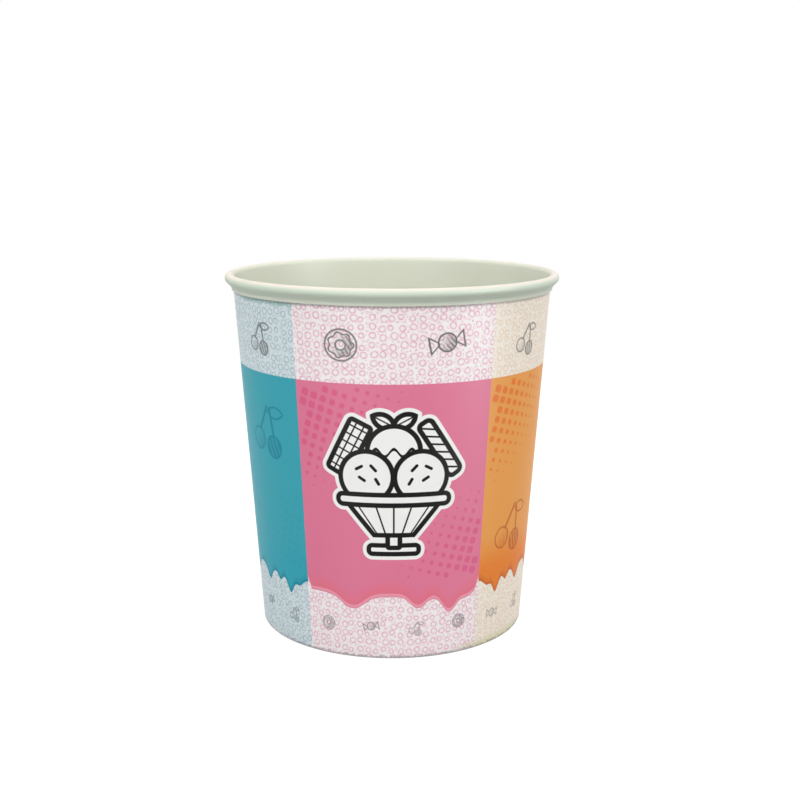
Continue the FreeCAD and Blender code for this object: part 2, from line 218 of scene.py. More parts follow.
class Section:
    # points of a board's section with what each carries, laid one run after another
    names = ("layer", "step", "lump", "rib", "skin", "rise")

    def __init__(self):
        self.points = []
        self.values = []

    def run(self, points, skin, layer=(0, 0), step=(0, 0), lump=(0, 0), rib=0, rise=None, grow=1):
        # the last point belongs to the next run; grow above 1 keeps a weight back, below 0 hurries it
        count = len(points) - 1
        for i in range(count):
            share = (i / count) ** grow if grow > 0 else 1 - (1 - i / count) ** -grow
            weights = [a + (b - a) * share for a, b in (layer, step, lump)]
            inside = rib if 0 < i else 0
            height = points[i][1] if rise is None else rise - self.length(points[: i + 1])
            self.points.append(np.array(points[i], float))
            self.values.append(weights + [inside, skin, height])

    @staticmethod
    def length(points):
        return float(sum(np.hypot(*(b - a)) for a, b in zip(points, points[1:])))

    def mesh(self, name, closed):
        points = np.array(self.points)
        ahead = np.roll(points, -1, 0) - points
        behind = points - np.roll(points, 1, 0)
        if not closed:
            ahead[-1], behind[0] = behind[-1], ahead[0]
        ahead /= np.hypot(*ahead.T)[:, None]
        behind /= np.hypot(*behind.T)[:, None]
        forward = ahead + behind
        forward /= np.maximum(np.hypot(*forward.T), 1e-9)[:, None]
        mesh = bpy.data.meshes.new(name)
        mesh.from_pydata([(r * mm, 0, z * mm) for r, z in points], [], [])
        facing = mesh.attributes.new("facing", "FLOAT_VECTOR", "POINT")
        facing.data.foreach_set("vector", [x for r, z in forward for x in (-z, 0, r)])
        for name, column in zip(self.names, np.array(self.values, float).T):
            mesh.attributes.new(name, "FLOAT", "POINT").data.foreach_set("value", column)
        return mesh


def line(start, end, count):
    return [start + (end - start) * i / count for i in range(count + 1)]


def arc(centre, radius, start, end, count):
    angles = [start + (end - start) * i / count for i in range(count + 1)]
    return [centre + radius * np.array([math.cos(a), math.sin(a)]) for a in angles]


def wallSection(cup, sizes):
    wall = WallLine(cup, sizes)
    board, curl, bend = sizes["board"], sizes["curlRadius"], sizes["lipBend"]
    out = wall.outward
    quarter, upAngle = math.pi / 2, math.pi - wall.lean
    centre = wall.curlCentre

    lipEnd = wall.at(cup["height"] - sizes["beadDrop"], 2 * board + sizes["lipGap"])
    lipStart = lipEnd + wall.along * sizes["lipLength"]
    bendCentre = lipStart + out * bend
    span = bendCentre - centre
    flankAngle = math.atan2(span[1], span[0]) + math.acos((curl + bend) / np.hypot(*span))
    flank = np.array([math.cos(flankAngle), math.sin(flankAngle)])
    innerCurl, outerBend = curl - board, bend + board
    notch = sizes["floorHeight"] + sizes["notchGap"]
    hemCorner = wall.corner - np.array([sizes["discBoard"] / math.cos(wall.lean), 0])
    hemTop = hemCorner + wall.along * (sizes["hemHeight"] - board) / math.cos(wall.lean)
    lipHeight = cup["height"] - sizes["beadDrop"]

    section = Section()
    run = section.run
    # up the inside and over the rim
    run(line(wall.corner, wall.at(notch), 2), coated)
    run(line(wall.at(notch), wall.at(notch + board), 1), coated, step=(0, 1))
    pressed = wall.at(cup["height"] - 2 * sizes["beadDrop"])
    run(line(wall.at(notch + board), pressed, 18), coated, step=(1, 1))
    run(line(pressed, wall.top, 6), coated, step=(1, 0.3))
    run(arc(centre, curl, upAngle, quarter, 7), coated, step=(0.3, 0.1), lump=(0, 0.1))
    run(arc(centre, curl, quarter, 0, 8), coated, step=(0.1, 0), lump=(0.1, 0.4))
    run(arc(centre, curl, 0, flankAngle, 4), coated, lump=(0.4, 0.7))
    flankStart, flankEnd = centre + flank * curl, bendCentre - flank * bend
    run(line(flankStart, flankEnd, 1), coated, lump=(0.7, 0.85))
    flankBack = flankAngle + math.pi
    run(arc(bendCentre, bend, flankBack, upAngle, 5), coated, lump=(0.85, 1))
    run(line(lipStart, lipEnd, 1), coated, lump=(1, 1))
    run(line(lipEnd, lipEnd - out * board, 1), cutEdge, lump=(1, 1))
    # back inside the roll, on the printed side
    run(line(lipEnd - out * board, lipStart - out * board, 1), printed, lump=(1, 1))
    run(arc(bendCentre, outerBend, upAngle, flankBack, 5), printed, lump=(1, 0.85))
    flankStart, flankEnd = bendCentre - flank * outerBend, centre + flank * innerCurl
    run(line(flankStart, flankEnd, 1), printed, lump=(0.85, 0.7))
    run(arc(centre, innerCurl, flankAngle, upAngle, 14), printed, lump=(0.7, 0))
    # down the print face, round the foot fold and up the hem
    faceTop, lapTop = centre - out * innerCurl, wall.at(lipHeight + 1, board)
    run(line(faceTop, lapTop, 2), printed, layer=(0, 1))
    run(line(lapTop, wall.at(lipHeight - 1, board), 3), printed, layer=(1, 1))
    section.printRows = (len(section.points), len(section.points) + 22)
    run(line(wall.at(lipHeight - 1, board), wall.corner + out * board, 22), printed, layer=(1, 1))
    foldStart = (wall.corner + out * board)[1]
    fold = arc(wall.corner, board, -wall.lean, -quarter, 6)
    run(fold, printed, layer=(1, 0), rise=foldStart, grow=-2)
    foot = line(fold[-1], np.array([hemCorner[0], 0.0]), 1)
    foldEnd = foldStart - section.length(fold)
    run(foot, printed, rise=foldEnd)
    turnIn = arc(hemCorner, board, -quarter, upAngle - 2 * math.pi, 6)
    turnStart = foldEnd - section.length(foot)
    run(turnIn, printed, layer=(0, 0.5), rise=turnStart, grow=2)
    hemStart = turnStart - section.length(turnIn)
    hemBack = line(hemCorner - out * board, hemTop - out * board, 10)
    run(hemBack, printed, layer=(0.5, 0.5), rib=1, rise=hemStart)
    run(line(hemTop - out * board, hemTop, 1), cutEdge)
    run(line(hemTop, hemCorner, 2), coated)
    run(line(hemCorner, wall.corner, 1), coated)
    return section


def discSection(cup, sizes, wallSizes):
    wall = WallLine(cup, wallSizes)
    board, bend = wallSizes["discBoard"], sizes["bend"]
    outerBend = bend + board
    top = wallSizes["floorHeight"]
    bendCentre = wall.at(top - outerBend, -outerBend)
    skirtEnd = wall.at(wallSizes["board"] + sizes["skirtGap"])
    quarter = math.pi / 2

    section = Section()
    run = section.run
    run(line(np.array([0.0, top]), np.array([bendCentre[0], top]), 24), coated)
    run(arc(bendCentre, outerBend, quarter, -wall.lean, 7), coated, rib=1)
    run(line(bendCentre + wall.outward * outerBend, skirtEnd, 6), coated)
    run(line(skirtEnd, skirtEnd - wall.outward * board, 1), cutEdge)
    skirtTop = bendCentre + wall.outward * bend
    run(line(skirtEnd - wall.outward * board, skirtTop, 6), printed)
    run(arc(bendCentre, bend, -wall.lean, quarter, 5), printed, rib=-1)
    under = np.array([bendCentre[0], top - board])
    run(line(under, np.array([0.0, top - board]), 24), printed)
    run([np.array([0.0, top - board])] * 2, printed)  # the axis, where the disc's mesh ends
    return section


wrapInputs = (
    ("Columns", "Int"),
    ("Closed Section", "Int"),
    ("First Angle", "Float"),
    ("Step Angle", "Float"),
    ("Ramp Angle", "Float"),
    ("Edge Gap", "Float"),
    ("Lap Depth", "Float"),
    ("Bead Lump", "Float"),
    ("Rib Count", "Float"),
    ("Rib Depth", "Float"),
    ("Waviness", "Float"),
    ("Print Side", "Material"),
    ("Coated Side", "Material"),
    ("Cut Edge", "Material"),
)


def wrapTree():
    # Turns a section's points round the cup's axis as a grid of columns, with the seam's lap in it
    tree = bpy.data.node_groups.new("wrap board", "GeometryNodeTree")
    face = tree.interface
    face.new_socket(name="Geometry", in_out="INPUT", socket_type="NodeSocketGeometry")
    for name, kind in wrapInputs:
        face.new_socket(name=name, in_out="INPUT", socket_type="NodeSocket" + kind)
    face.new_socket(name="Geometry", in_out="OUTPUT", socket_type="NodeSocketGeometry")
    start = Wire(tree).add("NodeGroupInput")
    given = {name: start.take(name) for name, _ in wrapInputs}
    add = start.add
    columns, gap = given["Columns"], given["Edge Gap"]
    first, step, ramp = given["First Angle"], given["Step Angle"], given["Ramp Angle"]

    # a flat grid, one row for each point of the section and one column for each angle
    points = add("GeometryNodeAttributeDomainSize", inputs={"Geometry": start})
    rows = points + given["Closed Section"]
    gridInputs = {"Size X": 1.0, "Size Y": 1.0, "Vertices X": rows, "Vertices Y": columns + 2}
    grid = add("GeometryNodeMeshGrid", inputs=gridInputs)
    flat = add("ShaderNodeSeparateXYZ", inputs={0: add("GeometryNodeInputPosition")})
    rowPlace = (flat + 0.5) * (rows - 1)
    columnPlace = (flat.take("Y") + 0.5) * (columns + 1)
    row = rowPlace.rounded().maths("FLOORED_MODULO", points)
    column = columnPlace.rounded()

    def carried(name, index, kind="FLOAT"):
        value = add("GeometryNodeInputNamedAttribute", {"data_type": kind}, {"Name": name})
        inputs = {"Geometry": start, "Value": value, "Index": index}
        return add("GeometryNodeSampleIndex", {"data_type": kind}, inputs)

    # angles: even, but for the two columns at each cut edge of the blank
    turn = 2 * math.pi
    even = (turn - 2 * gap) / columns
    angle = first + gap + column.least(columns) * even + column.above(columns + 0.5) * gap * 2
    stepColumn = ((step - first) / turn * columns).rounded()
    angle = angle + column.equals(stepColumn) * (step - gap - angle)
    angle = angle + column.equals(stepColumn + 1) * (step + gap - angle)

    # how far each layer of the lap is lifted here
    climb = angle.ease(step - ramp, step)
    onLap = climb * column.below(columns + 0.5)
    onStep = climb * angle.below(step)
    swell = climb.most(1 - angle.ease(first, first + ramp))
    depth = given["Lap Depth"]
    lift = depth * (carried("layer", row) * onLap - carried("step", row) * onStep)
    ribs = (angle * given["Rib Count"]).maths("COSINE") * 0.5 + 0.5
    lift = lift - given["Rib Depth"] * carried("rib", row) * ribs
    push = carried("lump", row) * swell * depth * given["Bead Lump"]

    place = add("ShaderNodeSeparateXYZ", inputs={0: carried("position", row, "FLOAT_VECTOR")})
    normal = add("ShaderNodeSeparateXYZ", inputs={0: carried("facing", row, "FLOAT_VECTOR")})
    height = place.take("Z") + lift * normal.take("Z")
    sine, cosine = angle.maths("SINE"), angle.maths("COSINE")
    spot = add("ShaderNodeCombineXYZ", inputs={0: sine * 1.3, 1: cosine * 1.3, 2: height * 18})
    wave = add("ShaderNodeTexNoise", inputs={"Vector": spot, "Scale": 1.0, "Detail": 1.0}) - 0.5
    fade = place.ease(0.004, 0.02)  # nothing moves at the axis
    reach = place + lift * normal + push + wave * given["Waviness"] * fade
    placed = {0: reach * sine, 1: reach * cosine * -1, 2: height}
    wrapped = add("ShaderNodeCombineXYZ", inputs=placed)

    # what the faces and corners carry: where they are on the flat blank and what surface they are
    faceRow = rowPlace.maths("FLOOR")
    faceColumn = columnPlace.maths("FLOOR")
    outerCut = faceColumn.equals(columns) * carried("layer", faceRow).above(0.25)
    innerCut = faceColumn.equals(stepColumn) * carried("step", faceRow).above(0.1)
    isCut = outerCut.most(innerCut)
    skin = carried("skin", faceRow)
    skin = skin + isCut * (cutEdge - skin)

    def stored(geometry, name, value, kind, domain):
        settings = {"data_type": kind, "domain": domain}
        inputs = {"Geometry": geometry, "Name": name, "Value": value}
        return add("GeometryNodeStoreNamedAttribute", settings, inputs)

    share = column / (columns + 1)
    layout = add("ShaderNodeCombineXYZ", inputs={0: share, 1: rowPlace.rounded()})
    blank = add(
        "ShaderNodeCombineXYZ",
        inputs={0: angle * blankRadius * mm, 1: carried("rise", row) * mm},
    )
    board = stored(grid, "layout", layout, "FLOAT_VECTOR", "CORNER")
    board = stored(board, "blank", blank, "FLOAT_VECTOR", "CORNER")
    board = stored(board, "skin", skin, "FLOAT", "FACE")
    board = add("GeometryNodeSetPosition", inputs={"Geometry": board, "Position": wrapped})
    board = add("GeometryNodeMergeByDistance", inputs={"Geometry": board, "Distance": 2e-6})

    edgeAngle = add("GeometryNodeInputMeshEdgeAngle")
    soft = edgeAngle.below(math.radians(32))
    shade = {"Geometry": board, "Shade Smooth": True}
    board = add("GeometryNodeSetShadeSmooth", {"domain": "FACE"}, shade)
    shade = {"Geometry": board, "Shade Smooth": soft}
    board = add("GeometryNodeSetShadeSmooth", {"domain": "EDGE"}, shade)
    kind = add("GeometryNodeInputNamedAttribute", {"data_type": "FLOAT"}, {"Name": "skin"})
    board = add("GeometryNodeRealizeInstances", inputs={"Geometry": board})
    for number, name in ((printed, "Print Side"), (coated, "Coated Side"), (cutEdge, "Cut Edge")):
        finish = {"Geometry": board, "Selection": kind.equals(number), "Material": given[name]}
        board = add("GeometryNodeSetMaterial", inputs=finish)
    end = tree.nodes.new("NodeGroupOutput")
    tree.links.new(board.socket, end.inputs[0])
    return tree


def wrapBoard(name, mesh, tree, values):
    # runs the tree on a section and returns the result as a plain mesh object
    holder = bpy.data.objects.new(name + "_section", mesh)
    bpy.context.scene.collection.objects.link(holder)
    modifier = holder.modifiers.new("wrap", "NODES")
    modifier.node_group = tree
    identifiers = {s.name: s.identifier for s in tree.interface.items_tree if s.in_out == "INPUT"}
    for label, value in values.items():
        modifier[identifiers[label]] = value
    graph = bpy.context.evaluated_depsgraph_get()
    made = bpy.data.meshes.new_from_object(holder.evaluated_get(graph))
    made.name = name
    bpy.data.objects.remove(holder)
    piece = bpy.data.objects.new(name, made)
    bpy.context.scene.collection.objects.link(piece)
    faceOutwards(made)
    return piece


def faceOutwards(mesh):
    shell = bmesh.new()
    shell.from_mesh(mesh)
    if shell.calc_volume(signed=True) < 0:
        bmesh.ops.reverse_faces(shell, faces=shell.faces)
        shell.to_mesh(mesh)
    openEdges = sum(1 for edge in shell.edges if len(edge.link_faces) != 2)
    print(mesh.name, len(mesh.polygons), "faces, open edges", openEdges)
    shell.free()


# Flat map of the wall: the print's turn in two halves, one above the other, so that it stays sharp,
# and the plain faces in low strips above them. Each strip has its start and height.
mapStrips = {
    "print": (0.005, 0.42),
    "nextHalf": 0.43,
    "inside": (0.87, 0.085),
    "rest": (0.965, 0.03),
    "margin": 0.005,
}


def mapFlat(mesh, printRows):
    layout = np.empty(len(mesh.loops) * 3, np.float32)
    mesh.attributes["layout"].data.foreach_get("vector", layout)
    share, row, _ = layout.reshape(-1, 3).T
    starts = np.array([face.loop_start for face in mesh.polygons])
    corners = np.array([face.loop_total for face in mesh.polygons])
    firstShare = np.repeat(np.minimum.reduceat(share, starts), corners)
    firstRow = np.repeat(np.minimum.reduceat(row, starts), corners)
    start, end = printRows
    half = np.where(firstShare > 0.5, 1.0, 0.0)

    def strip(name, first, last):
        low, tall = mapStrips[name]
        return low + (row - first) / (last - first) * tall

    isRest = firstRow > end - 0.5
    isPrint = (firstRow > start - 0.5) & ~isRest
    v = np.where(isRest, strip("rest", end, row.max()), strip("inside", 0, start))
    v = np.where(isPrint, strip("print", start, end) + half * mapStrips["nextHalf"], v)
    u = np.where(isPrint, share * 2 - half, share)
    u = u * (1 - 2 * mapStrips["margin"]) + mapStrips["margin"]
    flat = mesh.uv_layers.new(name="OFBake")
    flat.data.foreach_set("uv", np.stack([u, v], -1).astype(np.float32).ravel())
    mesh.attributes.remove(mesh.attributes["layout"])


# Print on the wall's outside, laid out on the blank: arc from the front's middle and height
printSizes = {
    "panels": 5,
    "panelMiddle": 0.7,  # the front panel's middle in degrees, right of the cup's front
    "fieldTop": 73.5,
    "frontFoot": 17.4,  # lower edge of the front field between its drips
    "sideFoot": 19.2,
    "frontCorners": (23.8, 2.8),  # where the front field's lower corners lift, and how far
    "frontDripForm": 2.2,
    "sideDripForm": 1.9,
    "frontDeepens": (7.0, 3.0),  # where the colour deepens: above the drips in front, else in height
    "sideDeepens": (35.0, 24.0),
    # drips: place from the panel's middle, how far they hang and their half width
    "frontDrips": (
        (-11.3, 3.6, 4.3),
        (6.6, 3.0, 2.8),
        (15.0, 1.0, 7.5),
        (15.9, 4.2, 2.8),
        (21.3, 1.4, 2.4),
    ),
    "sideDrips": (
        (21.8, 1.8, 1.8),
        (18.1, 4.6, 1.8),
        (13.5, 2.2, 1.5),
        (7.2, 3.6, 2.1),
        (-3.5, 3.4, 2.1),
        (-14.5, 4.6, 2.3),
    ),
    "dripRim": 0.95,
    "dripLine": 0.25,
    "ringPitch": 2.3,
    "ringRandom": 0.42,
    "ringStroke": 0.13,
    "ringStray": 0.7,  # how far the rings are bent out of round and place
    "dotPitch": 2.57,
    "dotTurn": 16.0,
    # dots' greatest half width, how it falls across the panel and how along it
    "upperDots": (1.16, 0.034, 0.0011),
    "lowerDots": (1.15, 0.042, 0.0019),
    "lowerDotsAt": 24.5,
    # pencil sketches in the bottom band, on the side fields and in the top band
    "sketchHeights": (8.8, 46.0, 83.0),
    "sketchSizes": (0.46, 1.58, 0.95),
    "sketchSwing": 52.0,  # on the side fields one hangs low and the next one high
    "sketchFloor": 24.0,  # above it the side fields' own sketches begin
    "outline": 0.6,
    "sticker": 0.9,
    "emblemHeight": 47.0,
    "emblemScale": 1.06,
    "lipShadow": 92.1,  # where the painted shadow below the rolled rim begins
}
# one colour for each panel: front, right, back right, back left, left
panelColours = {
    "field": [(219, 120, 150), (227, 155, 76), (236, 196, 84), (122, 178, 110), (61, 161, 176)],
    "low": [(224, 114, 134), (226, 121, 34), (228, 172, 54), (98, 158, 88), (52, 160, 177)],
    "dots": [(214, 88, 130), (224, 117, 42), (226, 168, 44), (90, 152, 84), (58, 150, 170)],
    "rim": [(232, 152, 170), (206, 104, 38), (212, 158, 44), (78, 140, 70), (34, 140, 160)],
    "line": [(210, 112, 138), (180, 88, 30), (190, 138, 36), (66, 124, 60), (30, 128, 148)],
    "paper": [(241, 237, 237), (239, 232, 221), (238, 234, 216), (224, 234, 224), (214, 224, 228)],
    "rings": [(221, 156, 178), (224, 198, 168), (216, 198, 142), (156, 188, 152), (146, 176, 182)],
}
sketchGrey = paint(84, 86, 86)
emblemWhite = paint(238, 238, 236)
emblemBlack = paint(14, 14, 13)
# painted shadow below the rolled rim
lipShade = paint(116, 116, 118)
# painted shade along the foot, where the wall meets the floor
footShade = paint(150, 146, 146)
leftTint = paint(120, 172, 158)  # a little green under the rim, left of the front
rightTint = paint(206, 206, 150)  # and a yellow strip along the foot, right of it


def length(x, y):
    return x.plus(x, y * y).maths("SQRT")


def disc(x, y, centreX, centreY, radius):
    return length(x - centreX, y - centreY) - radius


def turned(x, y, centreX, centreY, degrees):
    cos, sin = math.cos(math.radians(degrees)), math.sin(math.radians(degrees))
    x, y = x - centreX, y - centreY
    return x.plus(cos, y * sin), y.plus(cos, x * -sin)


def slab(x, y, halfX, halfY, corner):
    x, y = abs(x) - (halfX - corner), abs(y) - (halfY - corner)
    return length(x.most(0), y.most(0)) + x.most(y).least(0) - corner


def stick(x, y, start, end, radius):
    (startX, startY), (endX, endY) = start, end
    wayX, wayY = endX - startX, endY - startY
    x, y = x - startX, y - startY
    square = wayX * wayX + wayY * wayY
    share = (x * (wayX / square)).maths("ADD", y * (wayY / square), clamp=True)
    return length(share.plus(-wayX, x), share.plus(-wayY, y)) - radius


def filled(distance, soft=0.12):
    return distance.plus(-1 / soft, 0.5, clamp=True)


def drawn(distance, half, soft=0.12):
    return abs(distance).plus(-1 / soft, 0.5 + half / soft, clamp=True)


def emblem(x, y, half):
    # a footed sundae dish with scoops, leaves, a wafer and a rolled biscuit, drawn back to front
    side = abs(x)
    art = {"ink": None, "reach": None}

    def lay(shape, detail=None):
        cover, edge = filled(shape - half), drawn(shape, half)
        if detail is not None:
            edge = edge.most(detail * filled(shape))
        art["ink"] = edge if art["ink"] is None else art["ink"] * (1 - cover) + edge
        art["reach"] = shape if art["reach"] is None else art["reach"].least(shape)

    # wafer, with a grid pressed in it
    waferX, waferY = turned(x, y, -10.6, 9.6, -27)
    cell = (abs(waferX) - 0.95).maths("ABSOLUTE")
    bars = (waferY / 2.1).maths("FRACT") - 0.5
    lay(slab(waferX, waferY, 2.7, 6.8, 0.7), filled(cell - 0.2).most(filled(abs(bars) * 2.1 - 0.2)))
    # rolled biscuit, with its turns
    rollX, rollY = turned(x, y, 11.0, 9.4, 33)
    turns = ((rollX * 0.8 + rollY) / 2.3).maths("FRACT") - 0.5
    lay(slab(rollX, rollY, 1.75, 7.6, 1.2), filled(abs(turns) * 2.3 - 0.3))
    # two leaves on top
    leafX, leafY = turned(side, y, 2.4, 16.2, 28)
    leaf = disc(leafX, leafY, 0, -1.75, 3.3).most(disc(leafX, leafY, 0, 1.75, 3.3))
    lay(leaf, filled(abs(leafY) - 0.18))
    # top scoop with its sauce
    sauce = y - 8.6 - (x * 1.5).maths("COSINE") * 0.9
    lay(disc(x, y, 0, 8.9, 6.2), drawn(sauce, 0.4))
    # a scoop each side, with crumbs
    crumbs = stick(side, y, (4.3, 4.2), (5.4, 5.4), 0.38)
    crumbs = crumbs.least(stick(side, y, (7.6, 5.2), (8.9, 4.5), 0.38))
    crumbs = crumbs.least(stick(side, y, (7.0, 1.7), (8.2, 2.5), 0.38))
    crumbs = crumbs.least(stick(side, y, (3.6, 0.9), (4.3, 2.1), 0.38))
    lay(disc(side, y, 6.5, 2.6, 6.3), filled(crumbs))
    # foot, stem and bowl of the dish
    lay(slab(x, y + 15.6, 6.2, 1.1, 0.9))
    lay(slab(x, y + 13.2, 1.5, 1.9, 0.4))
    width = y.plus(0.82, 14.6)
    flute = ((side / width * 2.5) + 0.5).maths("FRACT") - 0.5
    flutes = filled(abs(flute) * width * 0.4 - 0.22)
    bowl = ((side - width) * 0.77).most(-11.9 - y).most(y + 4.4)
    lay(bowl, flutes)
    lay(slab(x, y + 3.1, 13.6, 1.3, 1.2))
    return art["ink"], art["reach"]


def motifs(x, y, which):
    # a ring cake, a wrapped sweet and a pair of cherries, each about nine across: outline and shade
    side = abs(x)
    middle = length(x, y)
    wobble = (y.maths("ARCTAN2", x) * 7).maths("COSINE") * 0.28
    cake = abs(middle - 4.1).least(abs(middle - 1.3)).least(abs(middle - 3.1 - wobble))
    cakeShade = abs(middle - 2.2) - 0.9
    bow = (side - 4.6).most(abs(y) - side.plus(0.8, -1.5)).most(2.3 - side)
    sweet = abs(middle - 2.4).least(abs(bow))
    sweetShade = middle - 2.4
    cherry = disc(side, y, 2.3, -2.0, 1.9)
    stems = stick(side, y, (2.0, -0.2), (0.4, 4.3), 0.1)
    leaf = disc(x, y, 2.2, 2.4, 2.6).most(disc(x, y, 1.6, 5.6, 2.6))
    fruit = abs(cherry).least(stems).least(abs(leaf))
    fruitShade = cherry
    isCake, isSweet = which.equals(0), which.equals(1)
    outline = fruit + isCake * (cake - fruit) + isSweet * (sweet - fruit)
    shade = fruitShade + isCake * (cakeShade - fruitShade) + isSweet * (sweetShade - fruitShade)
    return outline, shade


# Finishes: least roughness, how far it varies, shine and how strongly the board's felt shows
finishSizes = {
    "print": (0.36, 0.12, 0.075, 0.35),
    "coating": (0.4, 0.14, 0.06, 0.3),
    "cut": (0.8, 0.0, 0.3, 0.9),
}


def fibres(wire, place, strength):
    # the board's felted surface and its faint unevenness, as a bump
    fine = wire.add("ShaderNodeTexNoise", inputs={"Vector": place, "Scale": 2600.0, "Detail": 3.0})
    broad = wire.add("ShaderNodeTexNoise", inputs={"Vector": place, "Scale": 190.0, "Detail": 2.0})
    height = fine * 0.25 + broad
    settings = {"Strength": strength, "Distance": 0.05 * mm, "Height": height}
    return wire.add("ShaderNodeBump", inputs=settings), broad


def newMaterial(name):
    material = bpy.data.materials.new(name)
    material.use_nodes = True
    tree = material.node_tree
    shader = next(node for node in tree.nodes if node.type == "BSDF_PRINCIPLED")
    return material, Wire(tree), shader


def finishMaterial(wire, shader, kind, colour, place):
    roughness, spread, shine, felt = finishSizes[kind]
    bump, broad = fibres(wire, place, felt)
    shader.inputs["Specular IOR Level"].default_value = shine
    varied = {"Base Color": colour, "Normal": bump}
    if spread:
        varied["Roughness"] = broad * spread + roughness
    else:
        shader.inputs["Roughness"].default_value = roughness
    for name, value in varied.items():
        wire.tree.links.new(value.socket, shader.inputs[name])


def dripEdge(start, place, drips, sharpness):
    # a level edge with drips hanging below it, rounder the greater the sharpness
    edge = start
    for centre, reach, half in drips:
        away = abs(place.plus(1 / half, -centre / half)).maths("POWER", sharpness)
        edge = (away * -1).maths("EXPONENT").plus(-reach, edge)
    return edge


def ringedPaper(spot, grain, ink, sizes):
    # rings a little out of round on the bands, with small ones between the large ones
    pitch, stroke = sizes["ringPitch"], sizes["ringStroke"]
    stray = (sizes["ringStray"], sizes["ringStray"], 0)
    moved = {0: grain.take("Color"), 1: stray, 2: spot}
    bent = spot.add("ShaderNodeVectorMath", {"operation": "MULTIPLY_ADD"}, moved)

    def rings(spacing, randomness, least, spread):
        settings = {"voronoi_dimensions": "2D", "feature": "F1"}
        inputs = {"Vector": bent, "Scale": 1 / spacing, "Randomness": randomness}
        cells = spot.add("ShaderNodeTexVoronoi", settings, inputs)
        chance = spot.add("ShaderNodeSeparateColor", inputs={0: cells.take("Color")})
        return cells * spacing - chance.plus(spread, least)

    large = rings(pitch, sizes["ringRandom"], 0.54, 0.28)
    small = rings(pitch * 0.5, 0.8, 0.16, 0.18)
    ringed = drawn(large, stroke).most(drawn(small, stroke * 0.7) * filled(0.5 - large))
    halo = drawn(large, 0.3, 0.5)
    colour = layered(halo * 0.26, ink("paper"), ink("rings"))
    return layered(ringed * grain.ease(0.3, 0.65).plus(0.45, 0.42), colour, ink("rings"))


def sketched(shifted, rise, panelArc, sizes):
    # small pencil sketches, with the pencil's pressure and where the fields' own ones are
    onTop = rise.above(sizes["fieldTop"])
    onField = rise.above(sizes["sketchFloor"]) - onTop
    cellArc = panelArc / 4 + (onTop + onField) * (panelArc / 4)
    shiftedCell = shifted / cellArc
    cellNumber = shiftedCell.maths("FLOOR")
    lowSize, fieldSize, topSize = sizes["sketchSizes"]
    size = lowSize + onTop * (topSize - lowSize) + onField * (fieldSize - lowSize)
    lowHeight, fieldHeight, topHeight = sizes["sketchHeights"]
    swing = ((cellNumber * 0.5).maths("FRACT") - 0.25) * sizes["sketchSwing"]
    middle = lowHeight + onTop * (topHeight - lowHeight) + onField * (swing + (fieldHeight - lowHeight))
    tilt = (cellNumber * 2.4).maths("SINE")
    x = (shiftedCell - cellNumber - 0.5) * cellArc
    y = rise - middle - tilt * size
    x, y = (x + y * tilt * 0.3) / size, (y - x * tilt * 0.3) / size
    outline, shade = motifs(x, y, cellNumber.maths("FLOORED_MODULO", 3))
    hatch = ((x + y * 0.6) * 0.85).maths("FRACT") - 0.5
    shaded = (x - y * 0.5).ease(-3.2, 2.4)
    shading = filled(shade, 0.3) * shaded * (0.4 + filled(abs(hatch) - 0.24, 0.2) * 0.55)
    sketch = filled(outline * size - 0.15 - (onTop + onField) * 0.08, 0.22).most(shading)
    pressure = 0.68 + tilt * 0.14 + onTop * 0.18
    return sketch, pressure, onField


def tinted(colour, around, rise, grain, sizes):
    # faint tints at the two ends of the wall, with painted shade along the foot and below the rolled rim
    low = rise + grain * 2.4
    onWall = rise.ease(-1.4, -0.2)  # the hem stays without the tint and the painted shade
    tint = around.ease(17, 24) * around.ease(54, 47) * low.ease(3.6, 2.6) * onWall
    colour = layered(tint * 0.45, colour, rightTint)
    high = rise - grain * 1.6
    tint = around.ease(-48, -42) * around.ease(-20, -28) * high.ease(90.2, 91.2)
    colour = layered(tint * 0.55, colour, leftTint)
    # painted shade along the foot
    colour = layered(low.ease(2.2, 1.7) * onWall * 0.7, colour, footShade)
    # painted shadow in a line below the rolled rim
    lipDark = (rise + grain * 0.5).ease(sizes["lipShadow"], sizes["lipShadow"] + 0.45)
    return layered(lipDark * 0.4, colour, lipShade)


def dotted(local, rise, panelArc, sizes):
    # halftone dots, large in a panel's upper left corner and again in its lower right one
    turn, pitch = math.radians(sizes["dotTurn"]), sizes["dotPitch"]
    cos, sin = math.cos(turn), math.sin(turn)
    dotX = local.plus(cos / pitch, rise * (-sin / pitch))
    dotY = local.plus(sin / pitch, rise * (cos / pitch))
    cellX, cellY = dotX.rounded(), dotY.rounded()
    offX, offY = (dotX - cellX) * pitch, (dotY - cellY) * pitch
    atX = cellX.plus(cos, cellY * sin) * pitch
    atY = cellY.plus(cos, cellX * -sin) * pitch
    fromTop = sizes["fieldTop"] - atY
    most, across, along = sizes["upperDots"]
    upper = most - across * (atX + panelArc / 2) - along * fromTop * fromTop
    fromLow = atY - sizes["lowerDotsAt"]
    most, across, along = sizes["lowerDots"]
    lower = most - across * (panelArc / 2 - atX) - along * fromLow * fromLow
    lower = lower - fromLow.below(-2.0) * 3
    reachOut = length(offX, offY) * 0.45 + abs(offX).most(abs(offY)) * 0.6  # a rounded square
    whole = abs(atX).below(panelArc / 2 - 1.3) * fromTop.above(1.4)
    return filled(reachOut - upper.most(lower), 0.25) * whole


